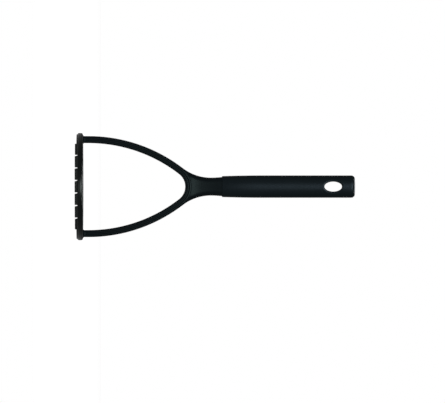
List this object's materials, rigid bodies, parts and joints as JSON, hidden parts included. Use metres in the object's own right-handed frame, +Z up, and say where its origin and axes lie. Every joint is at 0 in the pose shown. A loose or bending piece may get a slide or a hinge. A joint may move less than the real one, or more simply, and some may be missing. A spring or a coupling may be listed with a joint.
{
  "type": "potato masher",
  "caption": "Upright nylon masher: round slotted and ridged plate under a bowed arch, drawn-in neck, straight rounded grip with an oval hanging eye.",
  "frame": {"origin": "centre of the head's footprint on the surface that the ridge tips rest on", "axes": "+Z up the handle, X across the arch from foot to foot, Y through the arch's opening"},
  "size_m": [0.102, 0.102, 0.2661],
  "materials": {
    "plate_nylon": "black glass-filled nylon, moulded, fine satin",
    "arch_nylon": "black glass-filled nylon, moulded, satin",
    "grip_polypropylene": "black polypropylene, moulded with a fine spark-eroded grain",
    "screw_steel": "stainless steel, cold-headed and rolled"
  },
  "bodies": {
    "root": {"mashing_plate": "plate_nylon", "arch_frame": "arch_nylon", "grip": "grip_polypropylene", "plate_screws": "screw_steel"}
  },
  "joints": []
}
